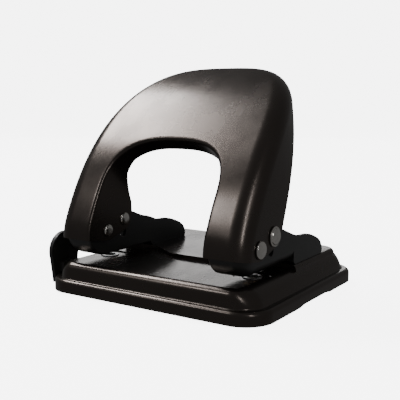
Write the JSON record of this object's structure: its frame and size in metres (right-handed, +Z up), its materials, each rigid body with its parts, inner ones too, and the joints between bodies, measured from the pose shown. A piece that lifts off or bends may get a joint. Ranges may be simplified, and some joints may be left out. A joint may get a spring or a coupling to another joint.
{
  "type": "hole punch",
  "caption": "Desk paper punch: arched pressed handle on folded pivot brackets drives sprung punches through die rings in a stepped base with a sliding paper guide and chip tray.",
  "frame": {"origin": "centre of the base's footprint, on the surface the punch stands on", "axes": "+X to the user's right along the line of the two punches, +Y away from the user, towards the back, +Z up"},
  "size_m": [0.1191, 0.1052, 0.1059],
  "materials": {
    "bronze_paint": "satin metallic dark bronze enamel",
    "black_paint": "semi-gloss black enamel",
    "black_plastic": "fine moulded texture",
    "pad_rubber": "matte",
    "nickel_steel": "bright nickel plate",
    "zinc_steel": "zinc plate",
    "tool_steel": "ground, lightly oiled",
    "bush_brass": "turned"
  },
  "bodies": {
    "base": {"base_cover": "bronze_paint", "die_ring_left": "tool_steel", "die_ring_right": "tool_steel", "bracket_left": "black_paint", "bracket_right": "black_paint", "bracket_rivets_left": "zinc_steel", "bracket_rivets_right": "zinc_steel", "guide_bush_left": "bush_brass", "guide_bush_right": "bush_brass", "pivot_pin_left": "nickel_steel", "pivot_pin_right": "nickel_steel", "guide_rail": "black_plastic", "guide_detent_spring": "tool_steel"},
    "handle_lever": {"handle": "bronze_paint", "drive_pin_left": "nickel_steel", "drive_pin_right": "nickel_steel"},
    "left_punch": {"punch_left": "tool_steel", "punch_spring_left": "tool_steel"},
    "right_punch": {"punch_right": "tool_steel", "punch_spring_right": "tool_steel"},
    "paper_guide": {"paper_guide_tab": "black_plastic", "paper_guide_bar": "zinc_steel"},
    "tray": {"chip_tray": "black_plastic", "non_slip_pad": "pad_rubber"}
  },
  "joints": [
    {"name": "handle_hinge", "type": "hinge", "parent": "base", "child": "handle_lever", "pos_m": [0, -0.0368, 0.0299], "axis": [-1, 0, 0], "range_deg": [0, 30], "stiffness_Nm_per_rad": 1, "springref_deg": -20.05},
    {"name": "left_punch_slide", "type": "slide", "parent": "base", "child": "left_punch", "axis": [0, 0, -1], "range_m": [0, 0.00667], "deforming": ["punch_spring_left"]},
    {"name": "right_punch_slide", "type": "slide", "parent": "base", "child": "right_punch", "axis": [0, 0, -1], "range_m": [0, 0.00667], "deforming": ["punch_spring_right"]},
    {"name": "paper_guide_slide", "type": "slide", "parent": "base", "child": "paper_guide", "axis": [-1, 0, 0], "range_m": [0, 0.0875]},
    {"name": "tray_release", "type": "slide", "parent": "base", "child": "tray", "axis": [0, 0, -1], "range_m": [0, 0.012]}
  ],
  "couplings": [
    {"joint": "left_punch_slide", "follows": "handle_hinge", "m_per_rad": 0.012701},
    {"joint": "right_punch_slide", "follows": "handle_hinge", "m_per_rad": 0.012701}
  ]
}
